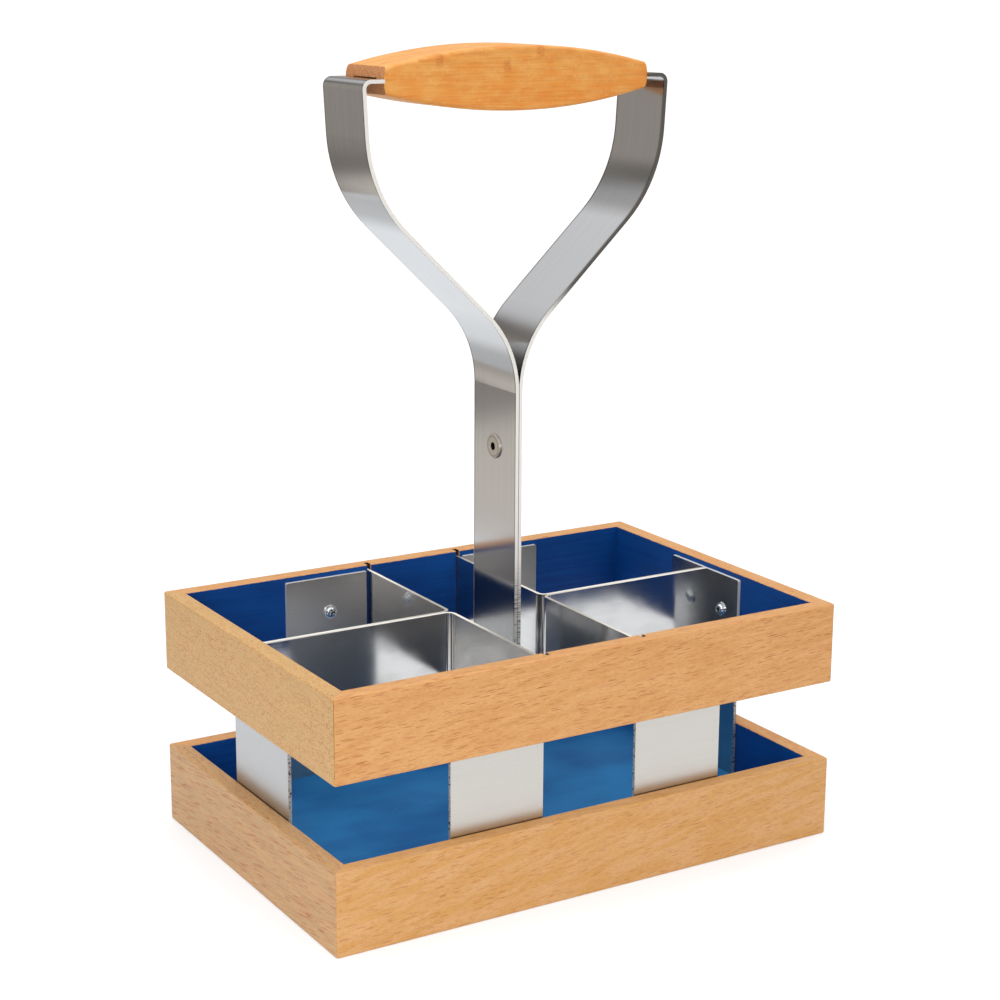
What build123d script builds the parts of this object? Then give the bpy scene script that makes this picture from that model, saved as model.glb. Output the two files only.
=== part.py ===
from build123d import *
import os

# Condiment basket: two mitred wooden frames on sheet-metal posts, dividers and a forked strap handle.
# Frame: X along the long side, Y to the back, Z up, origin on the table under the middle of the tray.
# All sizes are in millimetres.

# Wooden frames
tray_length = 240.0
tray_width = 162.0
board_height = 35.0
board_thickness = 7.5
frame_gap = 35.0
corner_round = 1.2
edge_round = 0.8

# Tray floor, held in a groove round the lower boards
floor_recess = 5.0
floor_thickness = 5.0
groove_depth = 4.0
groove_play = 0.3

# Sheet metal: dividers in the upper frame, and the posts and side plates that carry it on the lower one
sheet_thickness = 1.5
sheet_bend_radius = 2.5
channel_width = 45.0
divider_height = 30.0
rim_drop = 2.5
post_width = 43.0
post_slit = 1.5
plate_corner_radius = 0.8
side_plate_width = 50.0

# Stopped saw kerfs in the upper long boards, and the divider ends that stand in them
kerf_depth = 3.5
kerf_play = 0.25
kerf_end_play = 0.5

# Washer-head screws that hold the sheet metal to the boards
plate_screw_head_diameter = 6.2
plate_screw_head_height = 1.6
plate_screw_diameter = 3.0
plate_screw_point = 1.8
plate_screw_cover = 1.9
plate_hole_play = 0.2
pilot_play = 0.05
pilot_end_play = 0.4

# Handle straps, drawn along the middle of their thickness; bend radii are on the inside of the bend,
# and the fork rises from the rivet
strap_width = 34.0
strap_thickness = 1.5
strap_bend_radius = 2.2
fork_rise = 45.0
shoulder_rise = 64.5
leg_rise = 43.75
leg_lean = 2.5
fork_sweep_radius = 46.0
shoulder_sweep_radius = 56.0

# Grip, and the strap tongues that stand in its end mortises
grip_length = 123.4
grip_width = 32.0
grip_middle_height = 25.8
grip_end_height = 10.2
grip_end_radius = 14.0
grip_edge_round = 1.6
tongue_shoulder = 9.1
tongue_width = 18.0
tongue_depth = 16.0
mortise_side_play = 0.6
mortise_top_play = 0.35
mortise_end_play = 0.6

# Blind rivet through the stem
rivet_height = 172.0
rivet_head_diameter = 10.4
rivet_head_height = 0.9
rivet_head_round = 0.5
rivet_body_diameter = 4.8
rivet_tail_diameter = 7.4
rivet_tail_length = 4.0
rivet_tail_round = 1.4
rivet_bore_diameter = 3.2
rivet_bore_floor = 2.0
rivet_hole_play = 0.1

# Handle feet on the tray floor, with their screws, washers and nuts
foot_reach = 14.0
foot_screw_spacing = 18.0
foot_screw_diameter = 4.0
foot_screw_head_diameter = 8.0
foot_screw_head_height = 2.6
foot_screw_end = 0.4
foot_hole_play = 0.15
washer_diameter = 9.0
washer_thickness = 0.8
nut_across_flats = 7.0
nut_height = 3.2
nut_thread_play = 0.05

# Screw heads: the washer, the dome on it and the cross recess as shares of the head
washer_height_share = 0.35
dome_width_share = 0.76
dome_round_share = 0.55
recess_span_share = 0.5
recess_slot_share = 0.13
recess_depth_share = 0.6

# Places worked out from the sizes above
inner_half_length = tray_length / 2 - board_thickness
inner_half_width = tray_width / 2 - board_thickness
upper_bottom = board_height + frame_gap
upper_top = upper_bottom + board_height
floor_top = floor_recess + floor_thickness
sheet_top = upper_top - rim_drop
divider_bottom = sheet_top - divider_height
channel_half = channel_width / 2
post_end = channel_half + post_width
kerf_width = sheet_thickness + 2 * kerf_play
kerf_reach = kerf_depth - kerf_end_play
upper_screw_height = (upper_bottom + sheet_top) / 2
lower_screw_height = (floor_top + board_height) / 2
post_screw_x = channel_half + post_width / 2
side_screw_y = (sheet_thickness + side_plate_width / 2) / 2
screw_bite = board_thickness - plate_screw_cover
fork_height = rivet_height + fork_rise
shoulder_height = fork_height + shoulder_rise
tongue_height = shoulder_height + leg_rise
grip_half = grip_length / 2
leg_top_x = grip_half + tongue_shoulder
foot_screw_x = (strap_thickness + strap_bend_radius + foot_reach) / 2
cut_margin = 1.0

ON_BASE = (Align.CENTER, Align.CENTER, Align.MIN)
UNDER_TOP = (Align.CENTER, Align.CENTER, Align.MAX)

# The plate screws of each frame: their height, and where they stand along the side plates
plate_screw_rows = {
    "lower": (lower_screw_height, (0.0,)),
    "upper": (upper_screw_height, (-side_screw_y, side_screw_y)),
}


def block(low, high):
    """A box between two opposite corners."""
    size = [b - a for a, b in zip(low, high)]
    middle = [(a + b) / 2 for a, b in zip(low, high)]
    return Pos(*middle) * Box(*size)


def quadrants(shape):
    """The back right shape and its mirror images, keyed by the corner that each one stands in."""
    back_left = mirror(shape, about=Plane.YZ)
    return {
        "front_left": mirror(back_left, about=Plane.XZ),
        "front_right": mirror(shape, about=Plane.XZ),
        "back_left": back_left,
        "back_right": shape,
    }


def washer_head_screw(head_diameter, head_height, diameter, length, point):
    """A cross-recess screw seated at Z 0 with its shank downwards; point is the length of its cone."""
    washer = Cylinder(head_diameter / 2, head_height * washer_height_share, align=ON_BASE)
    dome = Cylinder(head_diameter * dome_width_share / 2, head_height, align=ON_BASE)
    dome = fillet(dome.edges().group_by(Axis.Z)[-1], head_height * dome_round_share)
    span = head_diameter * recess_span_share
    slot = head_diameter * recess_slot_share
    depth = head_height * recess_depth_share
    arm = Pos(0, 0, head_height) * Box(span, slot, 2 * depth)
    shank = Cylinder(diameter / 2, length - point, align=UNDER_TOP)
    tip = Pos(0, 0, point - length) * Cone(diameter / 4, diameter / 2, point, align=UNDER_TOP)
    return washer + dome - arm - Rot(0, 0, 90) * arm + shank + tip


def plate_screw_seats(level):
    """Screw planes of one frame: on the face of the sheet, with the normal into the basket."""
    height, side_places = plate_screw_rows[level]
    wall_x = inner_half_length - sheet_thickness
    wall_y = inner_half_width - sheet_thickness
    seats = []
    for side in (-1, 1):
        for along in (-1, 1):
            on_post = (along * post_screw_x, side * wall_y, height)
            seats.append(Plane(origin=on_post, z_dir=(0, -side, 0)))
        for place in side_places:
            on_plate = (side * wall_x, place, height)
            seats.append(Plane(origin=on_plate, z_dir=(-side, 0, 0)))
    return seats


def plate_screws(level):
    """The screws of one frame."""
    length = sheet_thickness + screw_bite
    screw = washer_head_screw(
        plate_screw_head_diameter, plate_screw_head_height, plate_screw_diameter, length, plate_screw_point
    )
    return Compound([seat * screw for seat in plate_screw_seats(level)])


def drill(shape, levels, radius, depth):
    """A shape with the plate screws' holes of some frames cut to a depth below the face of the sheet."""
    hole = Pos(0, 0, cut_margin) * Cylinder(radius, depth + cut_margin, align=UNDER_TOP)
    for level in levels:
        for seat in plate_screw_seats(level):
            shape -= seat * hole
    return shape


def board_ring(bottom):
    """The boards of one frame as a ring with eased edges, before it is cut at the mitres."""
    outer = Box(tray_length, tray_width, board_height, align=ON_BASE)
    outer = fillet(outer.edges().filter_by(Axis.Z), corner_round)
    ring = outer - Box(2 * inner_half_length, 2 * inner_half_width, board_height, align=ON_BASE)
    rims = ring.edges().group_by(Axis.Z)
    ring = fillet(rims[0] + rims[-1], edge_round)
    return Pos(0, 0, bottom) * ring


def mitre_wedges(bottom):
    """One prism round each board of a frame; neighbours meet on the corner diagonals."""
    out_x = tray_length / 2 + cut_margin
    out_y = tray_width / 2 + cut_margin
    in_x = inner_half_length - cut_margin
    in_y = inner_half_width - cut_margin
    front = Polyline((-out_x, -out_y), (out_x, -out_y), (in_x, -in_y), (-in_x, -in_y), close=True)
    right = Polyline((out_x, -out_y), (out_x, out_y), (in_x, in_y), (in_x, -in_y), close=True)
    front = Pos(0, 0, bottom) * extrude(make_face(front), board_height)
    right = Pos(0, 0, bottom) * extrude(make_face(right), board_height)
    return {
        "front": front,
        "back": mirror(front, about=Plane.XZ),
        "left": mirror(right, about=Plane.YZ),
        "right": right,
    }


def frame_boards(level, bottom, cutters):
    """The four boards of one frame, with their pilot holes and other cuts."""
    pilot_radius = plate_screw_diameter / 2 + pilot_play
    pilot_depth = sheet_thickness + screw_bite + pilot_end_play
    ring = drill(board_ring(bottom), [level], pilot_radius, pilot_depth)
    for cutter in cutters:
        ring -= cutter
    return {side: ring & wedge for side, wedge in mitre_wedges(bottom).items()}


def kerfs():
    """Saw cuts in the inner faces of the upper long boards, stopped where the divider ends stand on them."""
    middle = channel_half + sheet_thickness / 2
    low = (middle - kerf_width / 2, inner_half_width - cut_margin, divider_bottom)
    high = (middle + kerf_width / 2, inner_half_width + kerf_depth, upper_top + cut_margin)
    return quadrants(block(low, high)).values()


def floor_slab(reach):
    """A slab at the floor's level whose edges reach past the inner faces of the boards."""
    length = 2 * (inner_half_length + reach)
    width = 2 * (inner_half_width + reach)
    return Pos(0, 0, floor_recess) * Box(length, width, floor_thickness, align=ON_BASE)


def at_foot_screws(shape, height):
    """Copies of a shape at the four foot screws, at one height."""
    return [
        Pos(side * foot_screw_x, along * foot_screw_spacing / 2, height) * shape
        for side in (-1, 1)
        for along in (-1, 1)
    ]


def tray_floor():
    """The floor panel, tongued into the groove and drilled for the handle's feet."""
    panel = floor_slab(groove_depth - groove_play)
    hole = Cylinder(foot_screw_diameter / 2 + foot_hole_play, floor_thickness, align=ON_BASE)
    for cutter in at_foot_screws(hole, floor_recess):
        panel -= cutter
    return panel


def divider():
    """The back right divider: double wall, bend and channel wall in one sheet, with its end in the kerf."""
    half = sheet_thickness / 2
    channel_wall = channel_half + half
    line = FilletPolyline(
        (inner_half_length - sheet_thickness, half),
        (channel_wall, half),
        (channel_wall, inner_half_width + kerf_reach),
        radius=sheet_bend_radius + half,
    )
    return Pos(0, 0, divider_bottom) * extrude(trace(line, sheet_thickness), divider_height)


def post():
    """The back right post: a flat strip up both back boards, notched where the divider passes it."""
    low = (channel_half, inner_half_width - sheet_thickness, floor_top)
    high = (post_end, inner_half_width, sheet_top)
    notch_high = (channel_half + sheet_thickness + post_slit, inner_half_width, sheet_top)
    plate = block(low, high) - block((low[0], low[1], divider_bottom), notch_high)
    corner = plate.edges().filter_by(Axis.Y).sort_by_distance(high)[0]
    plate = fillet(corner, plate_corner_radius)
    hole_radius = plate_screw_diameter / 2 + plate_hole_play
    return drill(plate, plate_screw_rows, hole_radius, sheet_thickness)


def side_plate():
    """The flat plate on the right short boards; the dividers' double wall ends on its face."""
    low = (inner_half_length - sheet_thickness, -side_plate_width / 2, floor_top)
    plate = block(low, (inner_half_length, side_plate_width / 2, sheet_top))
    plate = fillet(plate.edges().filter_by(Axis.X).group_by(Axis.Z)[-1], plate_corner_radius)
    hole_radius = plate_screw_diameter / 2 + plate_hole_play
    return drill(plate, plate_screw_rows, hole_radius, sheet_thickness)


def handle_strap():
    """The right strap: foot on the floor, stem, fork, shoulder, leg and the tongue in the grip."""
    half = strap_thickness / 2
    line = FilletPolyline(
        (foot_reach, floor_top + half),
        (half, floor_top + half),
        (half, fork_height),
        (leg_top_x - leg_lean, shoulder_height),
        (leg_top_x, tongue_height),
        (grip_half - tongue_depth, tongue_height),
        radius=[strap_bend_radius + half, fork_sweep_radius, shoulder_sweep_radius, strap_bend_radius + half],
    )
    strap = extrude(trace(line, strap_thickness), strap_width / 2, both=True)
    strap = Rot(90, 0, 0) * strap

    low = (grip_half - tongue_depth - cut_margin, tongue_width / 2, tongue_height - strap_thickness)
    beside_tongue = block(low, (grip_half, strap_width / 2 + cut_margin, tongue_height + strap_thickness))
    strap = strap - beside_tongue - mirror(beside_tongue, about=Plane.XZ)

    rivet_hole = Cylinder(rivet_body_diameter / 2 + rivet_hole_play, 4 * strap_thickness)
    strap -= Pos(0, 0, rivet_height) * Rot(0, 90, 0) * rivet_hole
    foot_hole = Cylinder(foot_screw_diameter / 2 + foot_hole_play, 4 * strap_thickness)
    for cutter in at_foot_screws(foot_hole, floor_top):
        strap -= cutter
    return strap


def stem_rivet():
    """A blind rivet along X: head on the left strap, tail on the right one, bore open at the head."""
    head = Cylinder(rivet_head_diameter / 2, rivet_head_height, align=ON_BASE)
    head = fillet(head.edges().group_by(Axis.Z)[-1], rivet_head_round)
    body = Cylinder(rivet_body_diameter / 2, 2 * strap_thickness, align=UNDER_TOP)
    tail = Cylinder(rivet_tail_diameter / 2, rivet_tail_length, align=UNDER_TOP)
    tail = fillet(tail.edges().filter_by(GeomType.CIRCLE), rivet_tail_round)
    length = rivet_head_height + 2 * strap_thickness + rivet_tail_length - rivet_bore_floor
    bore = Pos(0, 0, rivet_head_height) * Cylinder(rivet_bore_diameter / 2, length, align=UNDER_TOP)
    rivet = head + body + Pos(0, 0, -2 * strap_thickness) * tail - bore
    return Pos(-strap_thickness, 0, rivet_height) * Rot(0, -90, 0) * rivet


def handle_grip():
    """The lens-shaped grip between the two straps, with a mortise in each end."""
    end = grip_end_height / 2
    middle = grip_middle_height / 2
    outline = Curve() + [
        ThreePointArc((-grip_half, end), (0, middle), (grip_half, end)),
        Line((grip_half, end), (grip_half, -end)),
        ThreePointArc((grip_half, -end), (0, -middle), (-grip_half, -end)),
        Line((-grip_half, -end), (-grip_half, end)),
    ]
    grip = Rot(90, 0, 0) * extrude(make_face(outline), grip_width / 2, both=True)
    grip = fillet(grip.edges().filter_by(GeomType.CIRCLE), grip_edge_round)

    # Each end is sanded to a slight bulge.
    bulge_x = grip_half - grip_end_radius
    bulge = Pos(bulge_x, 0, 0) * Rot(90, 0, 0) * Cylinder(grip_end_radius, grip_width + 2 * cut_margin)
    waste_low = (bulge_x, -grip_width / 2 - cut_margin, -middle)
    waste = block(waste_low, (grip_half + cut_margin, grip_width / 2 + cut_margin, middle)) - bulge
    grip = grip - waste - mirror(waste, about=Plane.YZ)

    depth = tongue_depth + mortise_end_play
    width = tongue_width + 2 * mortise_side_play
    height = strap_thickness + 2 * mortise_top_play
    mortise = Pos(grip_half - depth / 2, 0, 0) * Box(depth, width, height)
    grip = grip - mortise - mirror(mortise, about=Plane.YZ)
    return Pos(0, 0, tongue_height) * grip


def foot_screws():
    """Four machine screws through the handle's feet, the floor, the washers and the nuts."""
    length = strap_thickness + floor_thickness + washer_thickness + nut_height + foot_screw_end
    screw = washer_head_screw(
        foot_screw_head_diameter, foot_screw_head_height, foot_screw_diameter, length, foot_screw_end
    )
    return Compound(at_foot_screws(screw, floor_top + strap_thickness))


def foot_washers():
    """Four washers under the floor."""
    washer = Cylinder(washer_diameter / 2, washer_thickness, align=UNDER_TOP)
    washer -= Cylinder(foot_screw_diameter / 2 + foot_hole_play, washer_thickness, align=UNDER_TOP)
    return Compound(at_foot_screws(washer, floor_recess))


def foot_nuts():
    """Four hexagon nuts under the washers."""
    hexagon = RegularPolygon(nut_across_flats / 2, 6, major_radius=False)
    nut = extrude(hexagon, -nut_height)
    nut -= Cylinder(foot_screw_diameter / 2 + nut_thread_play, nut_height, align=UNDER_TOP)
    return Compound(at_foot_screws(nut, floor_recess - washer_thickness))


nodes = {}
for side, board in frame_boards("upper", upper_bottom, kerfs()).items():
    nodes[f"upper_{side}_board"] = board
for side, board in frame_boards("lower", 0, [floor_slab(groove_depth)]).items():
    nodes[f"lower_{side}_board"] = board
nodes["tray_floor"] = tray_floor()
for corner, sheet in quadrants(divider()).items():
    nodes[f"{corner}_divider"] = sheet
for corner, strip in quadrants(post()).items():
    nodes[f"{corner}_post"] = strip
nodes["right_side_plate"] = side_plate()
nodes["left_side_plate"] = mirror(nodes["right_side_plate"], about=Plane.YZ)
nodes["upper_plate_screws"] = plate_screws("upper")
nodes["lower_plate_screws"] = plate_screws("lower")
nodes["right_handle_strap"] = handle_strap()
nodes["left_handle_strap"] = mirror(nodes["right_handle_strap"], about=Plane.YZ)
nodes["stem_rivet"] = stem_rivet()
nodes["handle_grip"] = handle_grip()
nodes["foot_screws"] = foot_screws()
nodes["foot_washers"] = foot_washers()
nodes["foot_nuts"] = foot_nuts()

os.makedirs("parts", exist_ok=True)
for name, shape in nodes.items():
    export_step(shape, f"parts/{name}.step")
print(len(nodes), "nodes, overall height", round(tongue_height + grip_middle_height / 2, 2), "mm")
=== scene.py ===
# %% [markdown]
# # A condiment basket and its finishes
#
# The basket is a carrier for sauce bottles: two beech frames on steel posts, a set of bent steel
# dividers, and a handle of two steel straps with a bamboo grip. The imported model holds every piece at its
# real size. This lesson gives each piece the finish that it has on a table: oiled beech with its flecks,
# brushed blue paint, bright rolled sheet, brushed strap, zinc-plated screws and caramel bamboo.
#
# Everything is in metres, with X along the long side, Y to the back and Z up.

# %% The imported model
import math
from collections import namedtuple

import bpy
from mathutils import Matrix, Vector


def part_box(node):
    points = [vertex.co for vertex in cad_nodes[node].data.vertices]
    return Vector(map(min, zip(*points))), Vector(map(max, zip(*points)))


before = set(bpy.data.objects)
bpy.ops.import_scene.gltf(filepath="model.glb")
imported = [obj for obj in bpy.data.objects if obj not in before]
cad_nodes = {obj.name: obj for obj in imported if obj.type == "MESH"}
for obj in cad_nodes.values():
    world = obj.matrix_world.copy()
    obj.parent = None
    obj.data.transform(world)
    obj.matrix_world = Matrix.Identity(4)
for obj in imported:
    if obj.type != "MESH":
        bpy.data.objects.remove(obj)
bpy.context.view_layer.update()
mm = 0.001

# %% [markdown]
# ## Measuring the basket
#
# Paint, cut edges and joints lie at known places, so the finishes need a few sizes. They could be typed
# in again, but then a change to the model would leave the paint behind. They are read from the boxes of
# the pieces instead.

# %% Sizes of the frames
front_low, front_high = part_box("upper_front_board")
right_low, right_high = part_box("upper_right_board")
half_length = right_high.x
half_width = -front_low.y
inner_half_length = right_low.x
inner_half_width = -front_high.y
lower_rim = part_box("lower_front_board")[1].z
upper_bottom = front_low.z
inside = (2 * inner_half_length / mm, 2 * inner_half_width / mm)
print("inside of the frames", round(inside[0], 1), "by", round(inside[1], 1), "mm")

# %% [markdown]
# ## A bench for shader nodes
#
# A procedural finish is a sum of patterns, and sums read best as sums. `Wire` wraps one socket of a node
# and overloads the operators, so that `1 - mask` or `height * 0.5` adds the Math node by itself.
# `Bench.node` makes any other node from its type, its settings and what goes into its sockets. Wiring
# each node by hand would give the same material in five times as many lines. In such a sum the number
# beside a pattern is its weight. Sizes, steps and tones have names.

# %% Wires
class Wire:
    """One output of a node; arithmetic on it adds Math nodes."""

    def __init__(self, bench, socket):
        self.bench = bench
        self.socket = socket

    def __getitem__(self, output):
        return Wire(self.bench, self.socket.node.outputs[output])

    def __add__(self, other):
        return self.bench.math("ADD", self, other)

    def __sub__(self, other):
        return self.bench.math("SUBTRACT", self, other)

    def __rsub__(self, other):
        return self.bench.math("SUBTRACT", other, self)

    def __mul__(self, other):
        return self.bench.math("MULTIPLY", self, other)

    def __gt__(self, other):
        return self.bench.math("GREATER_THAN", self, other)

    def __lt__(self, other):
        return self.bench.math("LESS_THAN", self, other)

    def __abs__(self):
        return self.bench.math("ABSOLUTE", self, 0.0)

    __radd__ = __add__
    __rmul__ = __mul__


print("wires take + - * < > and abs")


# %% The bench
class Bench:
    """Makes the nodes of one material or of the world."""

    def __init__(self, tree):
        self.tree = tree
        tree.nodes.clear()

    def node(self, kind, settings=None, sockets=None):
        """A node: first its settings, then values or wires for its sockets. Gives its first output."""
        made = self.tree.nodes.new(kind)
        for name, value in (settings or {}).items():
            setattr(made, name, value)
        for key, value in (sockets or {}).items():
            if isinstance(value, Wire):
                self.tree.links.new(value.socket, made.inputs[key])
            else:
                made.inputs[key].default_value = value
        return Wire(self, made.outputs[0]) if made.outputs else None

    def math(self, operation, first, second):
        return self.node("ShaderNodeMath", {"operation": operation}, {0: first, 1: second})

    def blend(self, factor, first, second):
        """A mix of two colours."""
        return self.node("ShaderNodeMix", {"data_type": "RGBA"}, {0: factor, 6: first, 7: second})[2]

    def place(self):
        """The point on the piece, in the basket's own frame."""
        return self.node("ShaderNodeTexCoord")["Object"]

    def facing(self):
        """The three parts of the direction that the surface faces."""
        return split(self.node("ShaderNodeNewGeometry")["True Normal"])

    def surface(self, sockets):
        """The Principled shader, joined to the material's output."""
        shader = self.node("ShaderNodeBsdfPrincipled", sockets=sockets)
        self.node("ShaderNodeOutputMaterial", sockets={"Surface": shader})


print("the bench makes nodes")


# %% [markdown]
# ## Patterns
#
# Grain, brush strokes and specks are all noise with a size. A noise texture takes a scale, which says
# nothing about millimetres, so these helpers count the place in cells of a real size first: a cell of 10
# by 0.7 by 0.7 mm gives dashes of a few millimetres along the board, whatever the board's length. Most of
# a noise lies between 0.3 and 0.7, so that span is stretched where a pattern needs its full contrast. A
# dash is fully dark only in its core.

# %% Patterns with a real size
DASH_CORE = 0.6
NOISE_SPAN = (0.3, 0.7)


def split(vector):
    """The three numbers of a vector."""
    parts = vector.bench.node("ShaderNodeSeparateXYZ", sockets={"Vector": vector})
    return parts["X"], parts["Y"], parts["Z"]


def turned(vector, rotation, shift=(0.0, 0.0, 0.0)):
    """The point after a turn and a shift."""
    sockets = {"Vector": vector, "Rotation": rotation, "Location": shift}
    return vector.bench.node("ShaderNodeMapping", sockets=sockets)


def smooth(value, start, end):
    """0 before start and 1 after end, with a soft step between; start may be the larger one."""
    sockets = {"Value": value, "From Min": start, "From Max": end}
    return value.bench.node("ShaderNodeMapRange", {"interpolation_type": "SMOOTHSTEP"}, sockets)


def cells(vector, size):
    """The point counted in cells; the size is in millimetres along each axis."""
    counts = tuple(1 / (side * mm) for side in size)
    return vector.bench.node("ShaderNodeMapping", sockets={"Vector": vector, "Scale": counts})


def noise(vector, size, detail=1.0, bend=0.0):
    """Soft noise whose blobs have about this size."""
    sockets = {"Vector": cells(vector, size), "Scale": 1.0, "Detail": detail, "Distortion": bend}
    return vector.bench.node("ShaderNodeTexNoise", sockets=sockets)


def dashes(vector, size, fill, keep=1.0):
    """Dashes in a share of the cells; fill is their half length as a share of the cell."""
    sockets = {"Vector": cells(vector, size), "Scale": 1.0}
    distance = vector.bench.node("ShaderNodeTexVoronoi", sockets=sockets)
    kept = split(distance["Color"])[0] < keep
    return smooth(distance, fill, fill * DASH_CORE) * kept


def bump(height, depth):
    """A normal from a height between 0 and 1, with a real depth."""
    return height.bench.node("ShaderNodeBump", sockets={"Height": height, "Distance": depth, "Strength": 1.0})


print("patterns are sized in millimetres")


# %% Materials and their nodes
def finish(name):
    """A new material and the bench that makes its nodes."""
    material = bpy.data.materials.new(name)
    material.use_nodes = True
    return material, Bench(material.node_tree)


def tint(red, green, blue):
    """A colour from screen numbers between 0 and 255, by the curve that screens use."""
    def linear(number):
        share = number / 255
        return share / 12.92 if share < 0.04045 else ((share + 0.055) / 1.055) ** 2.4
    return (linear(red), linear(green), linear(blue), 1.0)


def dress(material, *names):
    """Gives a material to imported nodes."""
    for name in names:
        for slot in cad_nodes[name].material_slots:
            slot.material = material
    print(material.name, "on", ", ".join(names))


def named(ending):
    """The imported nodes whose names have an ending."""
    return [name for name in cad_nodes if name.endswith(ending)]


print(len(named("_board")), "boards,", len(named("_divider")), "dividers,", len(named("_post")), "posts")

# %% [markdown]
# ## Blue paint
#
# The insides of both frames and the tray floor are brushed with a satin blue. A single colour would look
# like plastic, so the paint gets the streaks that a brush leaves along the board, clouds where the coat
# is thicker, and a few specks of dust. The paint is a set of wires, because on the boards it has to be
# mixed with bare wood.

# %% Brushed paint
PAINT_SPECK = tint(8, 26, 60)
PAINT_STREAKS = (60, 0.7, 0.7)
PAINT_CLOUDS = (40, 26, 26)
PAINT_DUST = (5, 5, 5)
PAINT_ROUGHNESS = 0.5


def brushed_paint(stroke, deep, light, clouding):
    """Colour, roughness and height of the paint; stroke is the place with X along the brush strokes."""
    streak = noise(stroke, PAINT_STREAKS, detail=3.0)
    cloud = noise(stroke, PAINT_CLOUDS, detail=2.0)
    speck = dashes(stroke, PAINT_DUST, fill=0.09)
    level = smooth(streak * (1 - clouding) + cloud * clouding, *NOISE_SPAN)
    colour = stroke.bench.blend(level, deep, light)
    colour = stroke.bench.blend(speck * 0.6, colour, PAINT_SPECK)
    return colour, PAINT_ROUGHNESS + streak * 0.16, streak * 0.7 + speck * 0.3


print("paint has strokes, clouds and specks")

# %% [markdown]
# ## Beech boards
#
# Steamed beech is a warm tan with short dark flecks, the ends of its rays. How they look depends on the
# cut: the long boards show dashes a few millimetres long, one short board shows fine speckle and the
# other thin streaks. A photograph of wood on the faces would stretch round the edges. A solid pattern in
# the piece's own space runs through the board as real grain does, so the rim and the face agree.

# %% Bare wood
BEECH_FLECK = tint(160, 82, 29)
BEECH_BANDS = (90, 3, 3)
BEECH_LINES = (18, 0.55, 0.55)
BEECH_PORES = (1.6, 0.35, 0.35)
BEECH_CROWDS = (18, 6, 6)
BAND_SWEEP = (0.0, math.radians(8), math.radians(8))
BAND_STEP = (0.34, 0.66)
LINE_STEP = (0.44, 0.74)
PORE_STEP = (0.45, 0.75)
CROWD_STEP = (0.3, 0.6)
CROWDING = 0.5
WOOD_ROUGHNESS = 0.5


def beech_wood(grain, ground, pale, cut):
    """Colour, roughness and height of one board's wood; grain is the place with X along the grain."""
    bench = grain.bench
    band = smooth(noise(turned(grain, BAND_SWEEP), BEECH_BANDS, detail=2.0, bend=0.3), *BAND_STEP)
    line = noise(grain, BEECH_LINES, detail=2.0)
    pores = smooth(noise(grain, BEECH_PORES), *PORE_STEP)
    crowd = smooth(noise(grain, BEECH_CROWDS), *CROWD_STEP)
    fleck = dashes(grain, cut.size, cut.fill, cut.keep) * (crowd * CROWDING + (1 - CROWDING))
    wood = bench.blend(band * cut.banding, ground, pale)
    dark = smooth(line, *LINE_STEP) * cut.streaks + pores * 0.25 + fleck * cut.depth
    wood = bench.blend(dark, wood, BEECH_FLECK)
    return wood, WOOD_ROUGHNESS + line * 0.12 + fleck * 0.1, 1 - fleck * 0.6 - line * 0.3


print("wood has bands, lines, pores and flecks")

# %% [markdown]
# ## Joints, saw cuts and paint on a board
#
# A board is bare outside and on its rim, blue inside, painted dark as shade in the saw cuts that take the
# dividers, and its mitre shows as a broken dark hairline down the corner. Each of these lies at a known
# place, so each is a mask worked out from the place: the paint is where the point lies inside the frame,
# and the mitre is the diagonal of the corner.

# %% Masks on a board
divider_low, divider_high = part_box("back_right_divider")
plate_low, plate_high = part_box("right_side_plate")
sheet_thickness = plate_high.x - plate_low.x
kerf_middle = divider_low.x + sheet_thickness / 2
KERF_HALF = sheet_thickness / 2 + 0.3 * mm
KERF_START = inner_half_width + 0.9 * mm
KERF_END = divider_high.y + 0.7 * mm
MITRE_HALF = 0.2 * mm
MITRE_BREAKS = (4, 4, 7)
MITRE_STEP = (0.36, 0.52)
PAINT_WANDER = 0.25 * mm
PAINT_RAGS = (2, 2, 3)
LOOKS_ASIDE = 0.5


def board_masks(place):
    """Where a board is painted, where its saw cuts get painted shade, and where its mitre shows."""
    x, y, z = split(place)
    wander = noise(place, PAINT_RAGS, detail=2.0) * PAINT_WANDER
    painted = (abs(x) - wander < inner_half_length) * (abs(y) - wander < inner_half_width)
    in_kerf = (abs(abs(x) - kerf_middle) < KERF_HALF) * (abs(y) > KERF_START) * (abs(y) < KERF_END)
    # Painted shade: the saw cuts and a thin margin round them are darkened, for the shade in the narrow
    # slots.
    shaded_kerf = in_kerf * (z > divider_low.z)
    seam = abs(abs(x) - half_length - (abs(y) - half_width))
    broken = smooth(noise(place, MITRE_BREAKS, detail=2.0), *MITRE_STEP)
    upright = abs(place.bench.facing()[2]) < LOOKS_ASIDE
    mitre = smooth(seam, MITRE_HALF, MITRE_HALF / 4) * broken * upright
    return painted, shaded_kerf, mitre


print("saw cuts at", round(kerf_middle / mm, 2), "mm from the middle")

# %% One board's material
PAINT_DEEP = tint(0, 56, 122)
PAINT_LIGHT = tint(2, 74, 147)
WALL_CLOUDING = 0.5
JOINT_DARK = tint(58, 34, 18)
# A dark colour painted into the saw cuts as shade.
KERF_SHADE = tint(60, 50, 42)
SATIN_SPECULAR = 0.22
OIL_COAT = 0.3
OIL_ROUGHNESS = 0.38
WOOD_RELIEF = 0.05 * mm
QUARTER = math.pi / 2


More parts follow.
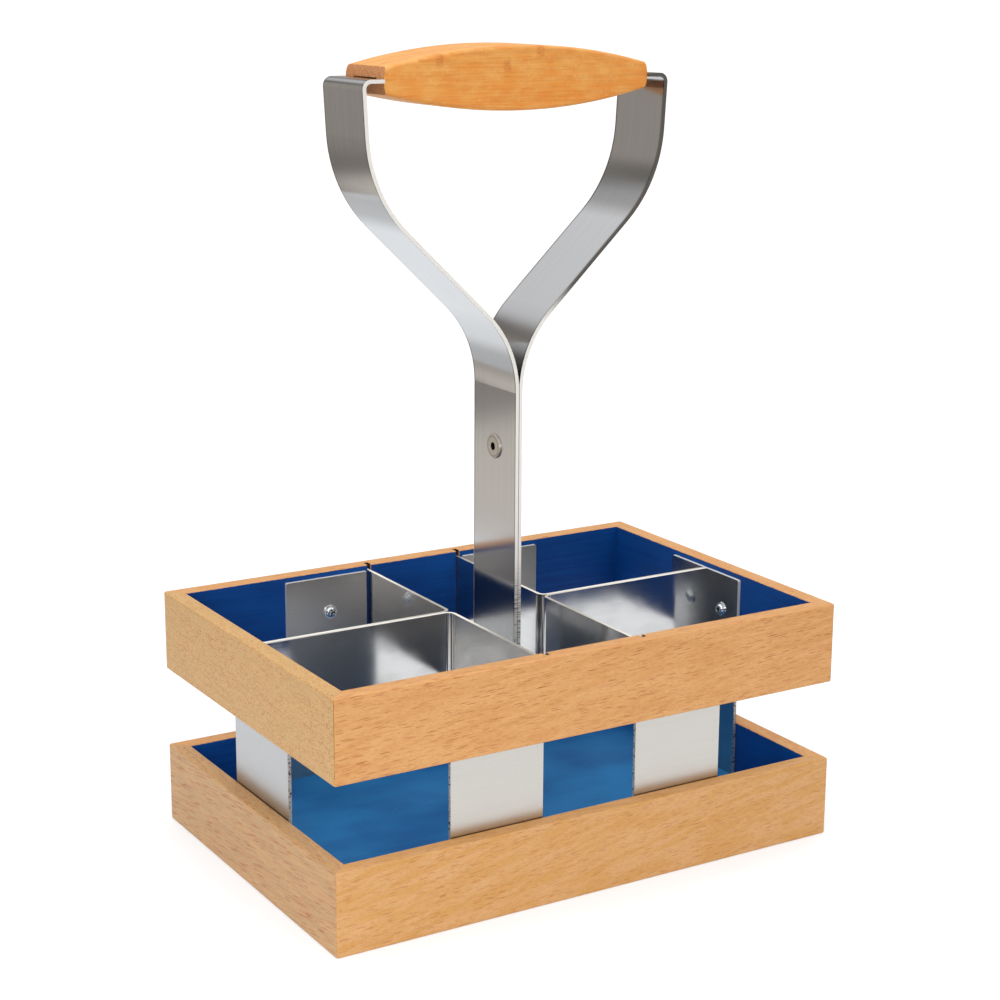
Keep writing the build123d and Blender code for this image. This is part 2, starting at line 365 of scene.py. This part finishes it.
def beech_board(name, across, slant, shift, ground, pale, cut, joint):
    """The material of one board; across says that it lies along Y, and slant tilts its grain."""
    material, bench = finish(name)
    place = bench.place()
    grain = turned(place, (slant, 0.0, -QUARTER) if across else (0.0, slant, 0.0), shift)
    stroke = turned(place, (0.0, 0.0, -QUARTER) if across else (0.0, 0.0, 0.0), shift)
    painted, shaded_kerf, mitre = board_masks(place)
    wood, wood_rough, wood_height = beech_wood(grain, ground, pale, cut)
    paint, paint_rough, paint_height = brushed_paint(stroke, PAINT_DEEP, PAINT_LIGHT, WALL_CLOUDING)
    wood = bench.blend(mitre * joint, wood, JOINT_DARK)
    colour = bench.blend(painted, wood, paint)
    height = wood_height + painted * (paint_height - wood_height)
    bench.surface({
        "Base Color": bench.blend(shaded_kerf, colour, KERF_SHADE),
        "Roughness": wood_rough + painted * (paint_rough - wood_rough),
        "Specular IOR Level": SATIN_SPECULAR,
        "Coat Weight": (1 - painted) * OIL_COAT,
        "Coat Roughness": OIL_ROUGHNESS,
        "Normal": bump(height, WOOD_RELIEF),
    })
    return material


print("a board's material takes its slant, its tone and its cut")

# %% [markdown]
# ## The eight boards
#
# A cut is the size of its flecks in millimetres, how full, how many and how dark they are, and how much
# streak and band shows. Each board has its own cut, its own slant in degrees and its own shift through
# the noise, so that no two look alike. The mitres of the upper front and left boards show as open dark
# lines, and the others are finer.

# %% The cuts
Cut = namedtuple("Cut", "size fill keep depth streaks banding")
DASHED = Cut(size=(10.0, 0.7, 0.7), fill=0.3, keep=0.95, depth=0.62, streaks=0.14, banding=0.6)
LINED = Cut(size=(9.0, 0.62, 0.62), fill=0.3, keep=0.9, depth=0.5, streaks=0.06, banding=0.6)
SPECKLED = Cut(size=(1.8, 0.5, 0.5), fill=0.45, keep=0.9, depth=0.5, streaks=0.16, banding=0.3)
STREAKED = Cut(size=(12.0, 0.75, 0.75), fill=0.3, keep=0.95, depth=0.7, streaks=0.36, banding=0.3)
print("flecks in cells from", SPECKLED.size[0], "to", STREAKED.size[0], "mm long")

# %% The boards
BEECH = tint(206, 149, 89)
BEECH_PALE = tint(216, 165, 108)
BEECH_YELLOW = tint(200, 163, 105)
BEECH_PINK = tint(184, 148, 102)
BEECH_DEEP = tint(198, 147, 82)
BEECH_MILKY = tint(208, 162, 114)
OPEN_JOINT = 0.9
FINE_JOINT = 0.3
TIGHT_JOINT = 0.15
BOARD_SHIFT = (0.31, 0.17, 0.23)
boards = {
    "upper_front_board": (2, BEECH, BEECH_PALE, DASHED, OPEN_JOINT),
    "upper_back_board": (3, BEECH, BEECH_PALE, DASHED, FINE_JOINT),
    "upper_left_board": (-3, BEECH_YELLOW, BEECH_PALE, SPECKLED, OPEN_JOINT),
    "upper_right_board": (4, BEECH, BEECH_PALE, LINED, FINE_JOINT),
    "lower_front_board": (3, BEECH_DEEP, BEECH_MILKY, LINED, TIGHT_JOINT),
    "lower_back_board": (-3, BEECH, BEECH_PALE, DASHED, TIGHT_JOINT),
    "lower_left_board": (7, BEECH_PINK, BEECH_PALE, STREAKED, TIGHT_JOINT),
    "lower_right_board": (-4, BEECH, BEECH_PALE, DASHED, TIGHT_JOINT),
}
for number, (board, (slant, ground, pale, cut, joint)) in enumerate(boards.items()):
    across = board.endswith(("left_board", "right_board"))
    shift = tuple(step * number for step in BOARD_SHIFT)
    dress(beech_board("beech_" + board, across, math.radians(slant), shift, ground, pale, cut, joint), board)

# %% [markdown]
# ## Tray floor
#
# The floor is a panel with a cloudier coat of the same paint, painted lighter than the walls for the
# stronger light that falls on it, pale dust, and the fine scratches that bottles leave. A scratch is a
# long thin noise, of which only the highest crests are kept.

# %% The floor's paint
# Painted light: the floor's two blues are the wall paint made lighter, for the stronger light on the floor.
FLOOR_LIT_DEEP = tint(8, 86, 147)
FLOOR_LIT_PALE = tint(30, 117, 176)
FLOOR_CLOUDING = 0.75
FLOOR_MARK = tint(70, 136, 190)
FLOOR_SCRATCHES = (30, 0.25, 30)
SCRATCH_TURN = (0.0, 0.0, 0.6)
SCRATCH_CRESTS = (0.76, 0.84)
FLOOR_DUST = (6, 6, 6)
FLOOR_RELIEF = 0.03 * mm

floor_paint, bench = finish("blue_floor")
place = bench.place()
colour, rough, height = brushed_paint(place, FLOOR_LIT_DEEP, FLOOR_LIT_PALE, FLOOR_CLOUDING)
scratch = smooth(noise(turned(place, SCRATCH_TURN), FLOOR_SCRATCHES), *SCRATCH_CRESTS)
dust = dashes(place, FLOOR_DUST, fill=0.1, keep=0.5)
bench.surface({
    "Base Color": bench.blend(scratch * 0.3 + dust * 0.5, colour, FLOOR_MARK),
    "Roughness": rough,
    "Specular IOR Level": SATIN_SPECULAR,
    "Normal": bump(height - scratch * 0.5, FLOOR_RELIEF),
})
dress(floor_paint, "tray_floor")

# %% [markdown]
# ## Divider sheet
#
# The dividers are bright rolled stainless sheet, almost a mirror. Rolling leaves fine level lines, which
# smear a reflection up and down but not sideways, and hands leave smudges. The shader's Anisotropic value
# stretches its highlight along a level direction by itself, so it is turned by a quarter. The cut edges
# are rough and pale. They are found by the normal: a face that looks straight up on a standing sheet can
# only be its cut edge.

# %% Dividers
SHEET = tint(206, 205, 203)
SHEET_DULL = tint(168, 168, 170)
SHEET_EDGE = tint(236, 232, 224)
ROLL_LINES = (70, 70, 0.25)
SHEET_SPECKS = (5, 5, 5)
SMUDGES = (14, 14, 9)
SMUDGE_STEP = (0.45, 0.7)
SHEET_ROUGHNESS = 0.1
LOOKS_UP = 0.7
UP_AND_DOWN = 0.25
ROLL_RELIEF = 0.002 * mm

divider_sheet, bench = finish("bright_sheet")
place = bench.place()
edge = abs(bench.facing()[2]) > LOOKS_UP
roll = noise(place, ROLL_LINES, detail=2.0)
speck = dashes(place, SHEET_SPECKS, fill=0.06)
smudge = smooth(noise(place, SMUDGES, detail=3.0), *SMUDGE_STEP)
face = bench.blend(smooth(roll, *NOISE_SPAN) * 0.15 + speck * 0.4 + smudge * 0.16, SHEET, SHEET_DULL)
bench.surface({
    "Base Color": bench.blend(edge, face, SHEET_EDGE),
    "Metallic": 1.0,
    "Roughness": SHEET_ROUGHNESS + roll * 0.05 + smudge * 0.04 + speck * 0.1 + edge * 0.34,
    "Anisotropic": 0.7,
    "Anisotropic Rotation": UP_AND_DOWN,
    "Normal": bump(roll, ROLL_RELIEF),
})
dress(divider_sheet, *named("_divider"))

# %% [markdown]
# ## Posts and side plates
#
# The posts and side plates are duller sheet, sheared to width. Their faces blur what they mirror: the rim
# in front of them shows as a brown haze. Their sheared edges are clean and pale inside the upper frame,
# and pitted dark below it, where they stand open. A line of painted shade darkens the outer face where a
# plate leaves the lower rim. One function serves both, because only the direction of their faces, their
# tone and their gloss differ.

# %% Posts and plates
POST_SHEET = tint(203, 199, 192)
# Painted shade: the side plates get a darker, cooler copy of the posts' sheet tone, for the dimmer light they
# mirror.
PLATE_SHADED_SHEET = tint(184, 185, 186)
DULL_SPECK = tint(140, 138, 136)
SHEAR_GREY = tint(192, 188, 184)
SHEAR_DARK = tint(74, 68, 64)
# A dark colour painted as shade along the line where a plate leaves the lower rim.
RIM_SHADE = tint(52, 36, 26)
DULL_GRAIN = (14, 14, 0.4)
DULL_SPECKS = (4, 4, 4)
SHEAR_PITS = (1.1, 1.1, 0.7)
PIT_STEP = (0.53, 0.63)
RIM_SHADE_HALF = 0.7 * mm
PIT_FADE = 2 * mm
DULL_ROUGHNESS = 0.3
DULL_RELIEF = 0.006 * mm
ALONG_X = 0
ALONG_Y = 1


def sheared_sheet(name, face_axis, tone, inner_gloss):
    """Dull sheet whose faces look along one axis; the inner faces may be glossier."""
    material, bench = finish(name)
    place = bench.place()
    spot = split(place)
    facing = bench.facing()
    inner = spot[face_axis] * facing[face_axis] < 0.0
    top = abs(facing[2]) > LOOKS_UP
    cut = (abs(facing[face_axis]) < LOOKS_ASIDE) * (1 - top)
    grain = noise(place, DULL_GRAIN, detail=2.0)
    speck = dashes(place, DULL_SPECKS, fill=0.07)
    handled = smooth(spot[2], upper_bottom, upper_bottom - PIT_FADE)
    pit = smooth(noise(place, SHEAR_PITS, detail=2.0), *PIT_STEP) * handled
    # Painted shade: a dark line on the outer face, where the plate leaves the lower rim.
    painted_shade = smooth(abs(spot[2] - lower_rim), RIM_SHADE_HALF, 0.0) * (1 - inner)
    colour = bench.blend(smooth(grain, *NOISE_SPAN) * 0.06 + speck * 0.4, tone, DULL_SPECK)
    colour = bench.blend(painted_shade * 0.7, colour, RIM_SHADE)
    shear = bench.blend(handled, SHEET_EDGE, SHEAR_GREY)
    colour = bench.blend(cut, colour, bench.blend(pit, shear, SHEAR_DARK))
    bench.surface({
        "Base Color": bench.blend(top, colour, SHEET_EDGE),
        "Metallic": 1 - top * 0.8 - cut * 0.5,
        "Roughness": DULL_ROUGHNESS - inner * inner_gloss + grain * 0.06 + top * 0.12 + cut * 0.2,
        "Anisotropic": 0.4,
        "Anisotropic Rotation": UP_AND_DOWN,
        "Normal": bump(grain * 0.4 - pit * cut * 4.0, DULL_RELIEF),
    })
    return material


dress(sheared_sheet("post_sheet", ALONG_Y, POST_SHEET, inner_gloss=0.0), *named("_post"))
plate_sheet = sheared_sheet("side_plate_sheet", ALONG_X, PLATE_SHADED_SHEET, inner_gloss=0.15)
dress(plate_sheet, *named("_side_plate"))

# %% [markdown]
# ## Brushed straps
#
# The handle's straps were brushed along their length before they were bent, so a highlight smears across
# the strap and level lines stay crisp. That is the shader's own direction, and needs no turning. The
# faces are darker at the two bends and carry painted shade along their eased corners. The sheared edges
# are pale on the left strap, dark high on the right one and darker low on the stem, a dark line shows
# where the two straps meet in the stem, and low on the stem the shear's ridges are left.

# %% Tones and places on a strap
STRAP = tint(189, 189, 189)
STRAP_LINE = tint(166, 166, 166)
STRAP_EDGE = tint(240, 238, 233)
STRAP_DARK = tint(92, 88, 84)
STRAP_SEAM = tint(84, 78, 72)
BRUSH_LINES = (120, 0.28, 120)
SHEAR_RIDGES = (5, 20, 0.45)
RIDGE_STEP = (0.45, 0.65)
strap_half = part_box("left_handle_strap")[1].y
EDGE_START = strap_half - 0.3 * mm
EDGE_FULL = strap_half - 0.2 * mm
LIP = strap_half - 0.6 * mm
LIP_HALF = 0.4 * mm
SEAM_HALF = 0.2 * mm
BEND_LEVELS = (209 * mm, 275 * mm)
BEND_HALF = 10 * mm
RIDGE_TOP = 128 * mm
RIDGE_FULL = 104 * mm
DARK_EDGE_SIDE = (2 * mm, 8 * mm)
DARK_EDGE_RISE = (226 * mm, 242 * mm)
STRAP_ROUGHNESS = 0.12
STRAP_RELIEF = 0.02 * mm
print("the straps are", round(2 * strap_half / mm, 1), "mm wide")

# %% Straps
strap_steel, bench = finish("brushed_strap")
place = bench.place()
x, y, z = split(place)
edge = smooth(abs(y), EDGE_START, EDGE_FULL)
brush = noise(place, BRUSH_LINES, detail=2.0)
# Painted shade: a dark band on the face along the eased corner beside each edge.
eased_corner_shade = smooth(abs(abs(y) - LIP), LIP_HALF, LIP_HALF / 3)
low = smooth(z, RIDGE_TOP, RIDGE_FULL)
ridge = smooth(noise(place, SHEAR_RIDGES), *RIDGE_STEP) * low
dark_high_edge = smooth(x, *DARK_EDGE_SIDE) * smooth(z, *DARK_EDGE_RISE)
seam = smooth(abs(x), SEAM_HALF, SEAM_HALF / 3)
darker_at_bends = sum(smooth(abs(z - level), BEND_HALF, BEND_HALF / 4) for level in BEND_LEVELS)
face = bench.blend(smooth(brush, *NOISE_SPAN) * 0.35, STRAP, STRAP_LINE)
face = bench.blend(darker_at_bends * 0.5 + eased_corner_shade * 0.7, face, STRAP_DARK)
cut = bench.blend(dark_high_edge + ridge * 0.6 + low * 0.4, STRAP_EDGE, STRAP_DARK)
cut = bench.blend(seam, cut, STRAP_SEAM)
bench.surface({
    "Base Color": bench.blend(edge, face, cut),
    "Metallic": 1 - edge * 0.8,
    "Roughness": STRAP_ROUGHNESS + brush * 0.05 + edge * 0.25,
    "Anisotropic": 0.6,
    "Normal": bump(brush * (1 - edge) * 0.1 - ridge * edge, STRAP_RELIEF),
})
dress(strap_steel, *named("_strap"))

# %% [markdown]
# ## Screws and rivet
#
# The screws are zinc plated, which is bright with a cool cast and slightly grainy, and their cross
# recesses are painted dark as shade. The recess is only a millimetre deep, so that painted shade is found
# by ambient occlusion, which is dark where the surface itself hides the light. The rivet is plain
# aluminium, dull, with a ring of painted shade round its head and painted shade in its hole.

# %% Screws, washers and nuts
ZINC = tint(208, 216, 222)
ZINC_BRIGHT = tint(243, 246, 248)
ZINC_SHADE = tint(46, 54, 60)
ZINC_GRAIN = (0.5, 0.5, 0.5)
RECESS_REACH = 1.2 * mm
RECESS_RAYS = 8
RECESS_STEP = (0.75, 0.35)
ZINC_ROUGHNESS = 0.16
CAST_RELIEF = 0.01 * mm

zinc, bench = finish("zinc_plate")
place = bench.place()
grain = noise(place, ZINC_GRAIN, detail=2.0)
settings = {"samples": RECESS_RAYS, "only_local": True}
open_sky = bench.node("ShaderNodeAmbientOcclusion", settings, {"Distance": RECESS_REACH})["AO"]
# Painted shade: ambient occlusion darkens the cross recess.
painted_shade = smooth(open_sky, *RECESS_STEP)
bench.surface({
    "Base Color": bench.blend(painted_shade, bench.blend(grain, ZINC, ZINC_BRIGHT), ZINC_SHADE),
    "Metallic": 1.0,
    "Roughness": ZINC_ROUGHNESS + grain * 0.1 + painted_shade * 0.4,
    "Normal": bump(grain, CAST_RELIEF),
})
dress(zinc, "upper_plate_screws", "lower_plate_screws", "foot_screws", "foot_washers", "foot_nuts")

# %% Rivet
RIVET = tint(176, 170, 158)
RIVET_BRIGHT = tint(206, 200, 188)
RIVET_SHADE = tint(70, 56, 42)
RIVET_GRAIN = (0.4, 0.4, 0.4)
RIVET_ROUGHNESS = 0.36
rivet_low, rivet_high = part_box("stem_rivet")
rivet_middle = (rivet_low + rivet_high) / 2
rivet_radius = (rivet_high.y - rivet_low.y) / 2
RING_RADIUS = 0.82 * rivet_radius
RING_HALF = 0.5 * mm
HOLE_RIM = 0.36 * rivet_radius
HOLE_RADIUS = 0.3 * rivet_radius

aluminium, bench = finish("rivet_aluminium")
place = bench.place()
grain = noise(place, RIVET_GRAIN, detail=2.0)
flat = bench.node("ShaderNodeVectorMath", {"operation": "MULTIPLY"}, {0: place, 1: (0.0, 1.0, 1.0)})
centre = (0.0, rivet_middle.y, rivet_middle.z)
radius = bench.node("ShaderNodeVectorMath", {"operation": "DISTANCE"}, {0: flat, 1: centre})["Value"]
# Painted shade: a dark ring round the head and a dark hole in its middle.
ring = smooth(abs(radius - RING_RADIUS), RING_HALF, 0.0)
hole = smooth(radius, HOLE_RIM, HOLE_RADIUS)
bench.surface({
    "Base Color": bench.blend(ring * 0.45 + hole, bench.blend(grain, RIVET, RIVET_BRIGHT), RIVET_SHADE),
    "Metallic": 1.0,
    "Roughness": RIVET_ROUGHNESS + grain * 0.16,
    "Normal": bump(grain - ring, CAST_RELIEF),
})
dress(aluminium, "stem_rivet")

# %% [markdown]
# ## Bamboo grip
#
# The grip is laminated bamboo, oiled to a caramel. Bamboo has no rays: it shows very fine fibres along
# the grip, soft patches that took more oil, small pale scratches across it, and reddish marks where a
# strip holds a node of the cane. The ends are end grain, which drinks more oil and turns red. Fibres are
# long thin noise, and each node mark is a small box round its place.

# %% Bamboo
BAMBOO = tint(232, 147, 63)
BAMBOO_PALE = tint(238, 178, 98)
BAMBOO_FIBRE = tint(184, 84, 22)
BAMBOO_SCRATCH = tint(246, 196, 124)
FIBRES = (24, 0.6, 0.6)
THREADS = (7, 0.6, 0.6)
CROSS_SCRATCHES = (0.9, 4, 2.6)
OIL_PATCHES = (9, 4, 4)
LAYERS = (220, 7, 60)
OIL_STEP = (0.33, 0.67)
FIBRE_STEP = (0.42, 0.7)


def bamboo_strip(place):
    """Colour and fibre of the bamboo away from its nodes and ends."""
    bench = place.bench
    fibre = noise(place, FIBRES, detail=2.0)
    thread = dashes(place, THREADS, fill=0.25, keep=0.6)
    scratch = dashes(place, CROSS_SCRATCHES, fill=0.32, keep=0.35)
    patch = noise(place, OIL_PATCHES, detail=3.0)
    layer = noise(place, LAYERS)
    colour = bench.blend(smooth(patch * 0.5 + layer * 0.5, *OIL_STEP), BAMBOO, BAMBOO_PALE)
    dark = smooth(fibre, *FIBRE_STEP) * 0.2 + thread * 0.22
    colour = bench.blend(dark, colour, BAMBOO_FIBRE)
    return bench.blend(scratch * 0.35, colour, BAMBOO_SCRATCH), fibre


print("bamboo has fibres, threads, patches, layers and scratches")

# %% The grip
BAMBOO_NODE = tint(190, 92, 38)
BAMBOO_END = tint(188, 112, 60)
BAMBOO_DRY = tint(234, 188, 142)
grip_low, grip_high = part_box("handle_grip")
grip_middle = (grip_low + grip_high) / 2
NODE_MARKS = ((-37 * mm, 7.5 * mm), (-6 * mm, 5.0 * mm), (9.5 * mm, 10.5 * mm))
NODE_LENGTH = 1.7 * mm
NODE_HEIGHT = 2.4 * mm
MARK_OUT = 1.3
MARK_FULL = 0.7
CANE_FLOW = (2.5, 0.4, 0.4)
CANE_STEP = (0.3, 0.65)
END_STEP = (0.75, 0.85)
END_GRAIN_STEP = (0.4, 0.7)
BAMBOO_ROUGHNESS = 0.42
BAMBOO_SPECULAR = 0.3
FIBRE_RELIEF = 0.03 * mm

bamboo, bench = finish("caramel_bamboo")
place = bench.place()
x, _, z = split(place)
colour, fibre = bamboo_strip(place)
flow = noise(place, CANE_FLOW, detail=2.0)
marks = [
    smooth(abs(x - along), NODE_LENGTH * MARK_OUT, NODE_LENGTH * MARK_FULL)
    * smooth(abs(z - grip_middle.z - rise), NODE_HEIGHT * MARK_OUT, NODE_HEIGHT * MARK_FULL)
    for along, rise in NODE_MARKS
]
node_mark = sum(marks) * smooth(flow, *CANE_STEP)
colour = bench.blend(node_mark * 0.5, colour, BAMBOO_NODE)
cut_end = smooth(abs(bench.facing()[0]), *END_STEP)
end_grain = bench.blend(smooth(flow, *END_GRAIN_STEP) * 0.7, BAMBOO_END, BAMBOO_DRY)
bench.surface({
    "Base Color": bench.blend(cut_end * 0.9, colour, end_grain),
    "Roughness": BAMBOO_ROUGHNESS + fibre * 0.14,
    "Specular IOR Level": BAMBOO_SPECULAR,
    "Normal": bump(fibre, FIBRE_RELIEF),
})
dress(bamboo, "handle_grip")

# %% [markdown]
# ## The table
#
# The steel mirrors what it stands on, so the table has two parts: a wide white sheet under the basket,
# lit a little from below as on a light table, and the round top of a small pale table that stands to the
# left behind it. The second one is hidden from the camera, which sees plain white there, but the straps
# still show its edges as bands. Both are flat discs, so a filled circle is all that they need.

# %% White sheet and side table
PAPER_RADIUS = 0.8
PAPER_PLACE = (0.51, 0.18, 0.0)
PAPER_GLOW = 0.35
PAPER_WHITE = tint(220, 223, 226)
PAPER_GREY = tint(216, 220, 223)
TABLE_RADIUS = 0.506
TABLE_PLACE = (-0.5425, 0.2545, -1.0 * mm)
TABLE_PALE = tint(220, 213, 204)
TABLE_TAN = tint(213, 205, 195)
TABLE_ROUGHNESS = 0.7
MOTTLES = (40, 40, 40)
DISC_CORNERS = 96


def lay(name, radius, spot, bright, grey, glow):
    """A flat round part of the table, slightly mottled; glow is the light that comes up through it."""
    bpy.ops.object.select_all(action="DESELECT")
    bpy.ops.mesh.primitive_circle_add(vertices=DISC_CORNERS, radius=radius, fill_type="NGON", location=spot)
    part = bpy.context.object
    part.name = name
    material, bench = finish(name + "_finish")
    mottle = noise(bench.place(), MOTTLES, detail=2.0)
    bench.surface({
        "Base Color": bench.blend(mottle, grey, bright),
        "Roughness": TABLE_ROUGHNESS,
        "Emission Color": bright,
        "Emission Strength": glow,
    })
    part.data.materials.append(material)
    print(name, "is", round(part.dimensions.x, 2), "m across")
    return part


lay("white_sheet", PAPER_RADIUS, PAPER_PLACE, PAPER_WHITE, PAPER_GREY, PAPER_GLOW)
side_table = lay("side_table", TABLE_RADIUS, TABLE_PLACE, TABLE_PALE, TABLE_TAN, glow=0.0)
side_table.visible_camera = False

# %% [markdown]
# ## The studio
#
# The steel mirrors the room as well: a brown wall round it, dark towards the floor and below the ceiling,
# and a bright ceiling that starts well above the horizon. The camera itself sees plain white behind the
# basket, a little brighter than white so that no grain is left in it. That is one world with two answers:
# a Light Path node tells the rays of the camera from all others. The heights are the sine of the angle
# above the horizon.

# %% Room light
ROOM_LOW = (0.19, 0.175, 0.16, 1.0)
ROOM_WALL = (0.49, 0.45, 0.41, 1.0)
ROOM_HIGH = (0.26, 0.24, 0.22, 1.0)
CEILING_LOW = (0.95, 0.96, 0.98, 1.0)
CEILING_HIGH = (1.85, 1.85, 1.87, 1.0)
BACKDROP = (1.1, 1.1, 1.1, 1.0)
WALL_SPAN = (-0.45, -0.02)
WALL_FADE = (0.24, 0.36)
CEILING_LINE = (0.39, 0.49)
CEILING_SPAN = (0.45, 0.95)

room = bpy.data.worlds.new("studio_room")
bpy.context.scene.world = room
room.use_nodes = True
bench = Bench(room.node_tree)
upward = split(bench.node("ShaderNodeTexCoord")["Generated"])[2]
wall = bench.blend(smooth(upward, *WALL_SPAN), ROOM_LOW, ROOM_WALL)
wall = bench.blend(smooth(upward, *WALL_FADE), wall, ROOM_HIGH)
ceiling = bench.blend(smooth(upward, *CEILING_SPAN), CEILING_LOW, CEILING_HIGH)
light = bench.blend(smooth(upward, *CEILING_LINE), wall, ceiling)
seen = bench.node("ShaderNodeLightPath")["Is Camera Ray"]
shown = bench.blend(seen, light, BACKDROP)
glow = bench.node("ShaderNodeBackground", sockets={"Color": shown, "Strength": 1.0})
bench.node("ShaderNodeOutputWorld", sockets={"Surface": glow})
print("room light from", ROOM_LOW[0], "below to", CEILING_HIGH[0], "above")

# %% [markdown]
# ## Softboxes
#
# The room alone would light every board evenly. A small softbox close to the near corner makes the long
# boards fade towards their far ends, and a weak one far to the left fills the shade. A sun lamp could not
# do this, because its light doesn't fade with distance.

# %% Two softboxes
BASKET_MIDDLE = (0.0, 0.0, 0.12)
NEAR_PLACE = (-0.36, -0.48, 0.25)
NEAR_SIZE = 0.25
NEAR_POWER = 1.1
LEFT_PLACE = (-1.4, -0.5, 1.0)
LEFT_SIZE = 1.0
LEFT_POWER = 0.5


def softbox(name, spot, size, power):
    """A square area light that looks at the middle of the basket."""
    bpy.ops.object.light_add(type="AREA", location=spot)
    lamp = bpy.context.object
    lamp.name = name
    lamp.data.size = size
    lamp.data.energy = power
    lamp.rotation_euler = (Vector(BASKET_MIDDLE) - Vector(spot)).to_track_quat("-Z", "Y").to_euler()
    lamp.visible_camera = False
    print(name, "gives", power, "W")


softbox("near_softbox", NEAR_PLACE, NEAR_SIZE, NEAR_POWER)
softbox("left_softbox", LEFT_PLACE, LEFT_SIZE, LEFT_POWER)

# %% [markdown]
# ## The camera
#
# The camera stands a little to the left of the front, above the rim, with a long lens. Its place was
# found from the corners of the two frames: their edges fix the direction, and their known size fixes the
# distance.

# %% Camera at the photograph's view
CAMERA_PLACE = Vector((-0.4514, -0.7422, 0.3668))
CAMERA_AZIMUTH = math.radians(-31.38)
CAMERA_ELEVATION = math.radians(14.12)
CAMERA_ROLL = math.radians(0.31)
CAMERA_LENS = 75.81
CAMERA_SENSOR = 36.0

back = Vector((
    math.sin(CAMERA_AZIMUTH) * math.cos(CAMERA_ELEVATION),
    -math.cos(CAMERA_AZIMUTH) * math.cos(CAMERA_ELEVATION),
    math.sin(CAMERA_ELEVATION),
))
level = Vector((math.cos(CAMERA_AZIMUTH), math.sin(CAMERA_AZIMUTH), 0.0))
rise = back.cross(level)
right = math.cos(CAMERA_ROLL) * level + math.sin(CAMERA_ROLL) * rise
upright = math.cos(CAMERA_ROLL) * rise - math.sin(CAMERA_ROLL) * level
bpy.ops.object.camera_add()
camera = bpy.context.object
camera.data.lens = CAMERA_LENS
camera.data.sensor_width = CAMERA_SENSOR
camera.matrix_world = Matrix.Translation(CAMERA_PLACE) @ Matrix((right, upright, back)).transposed().to_4x4()
bpy.context.scene.camera = camera
bpy.context.scene.view_settings.view_transform = "Standard"
print("camera", round((CAMERA_PLACE - grip_middle).length, 3), "m from the grip")
